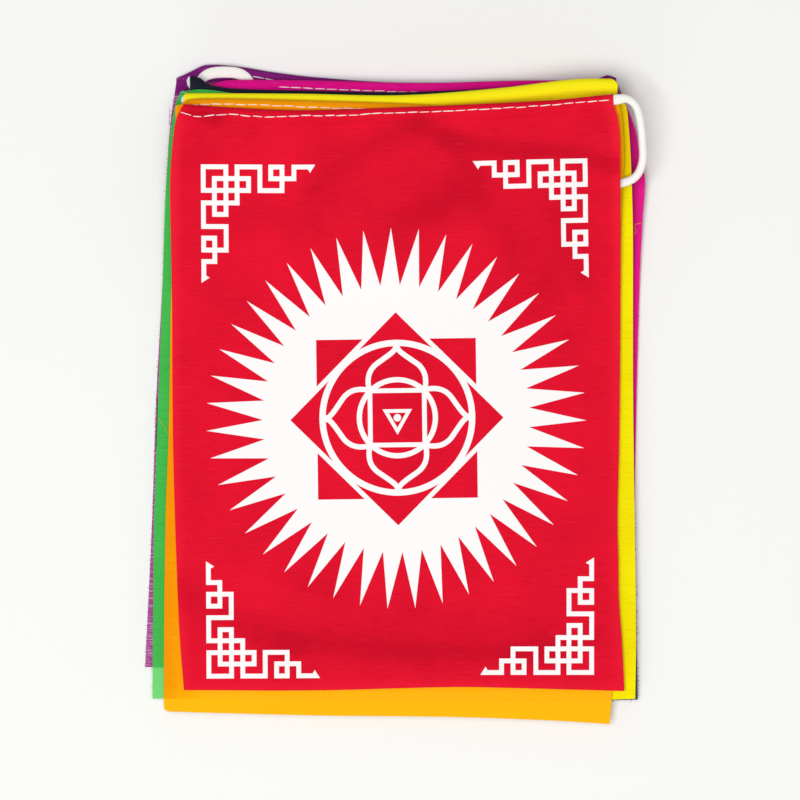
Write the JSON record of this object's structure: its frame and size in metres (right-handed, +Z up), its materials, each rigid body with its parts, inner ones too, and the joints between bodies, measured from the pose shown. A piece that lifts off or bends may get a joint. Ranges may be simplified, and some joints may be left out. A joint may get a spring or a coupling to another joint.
{
  "type": "tibetan prayer flag string",
  "caption": "String of cotton prayer flags in rainbow colours, folded up flag over flag on its cord, a red flag with a white printed sunburst on top.",
  "frame": {"origin": "on the table, under the middle of the folded stack of flags", "axes": "+Z up, +Y up the flags towards their cord casings, +X to the right seen from above"},
  "size_m": [0.173, 0.2275, 0.0315],
  "materials": {
    "cloth_red": "matt plain-woven cotton",
    "cloth_orange": "matt plain-woven cotton",
    "cloth_yellow": "matt plain-woven cotton",
    "cloth_green": "matt plain-woven cotton",
    "cloth_navy": "matt plain-woven cotton",
    "cloth_magenta": "matt plain-woven cotton",
    "cloth_purple": "matt plain-woven cotton",
    "cord_white": "soft matt cotton cord"
  },
  "bodies": {
    "root": {"flag_red": "cloth_red", "flag_orange": "cloth_orange", "flag_yellow": "cloth_yellow", "flag_green": "cloth_green", "flag_navy": "cloth_navy", "flag_magenta": "cloth_magenta", "flag_purple": "cloth_purple", "cord": "cord_white"}
  },
  "joints": []
}
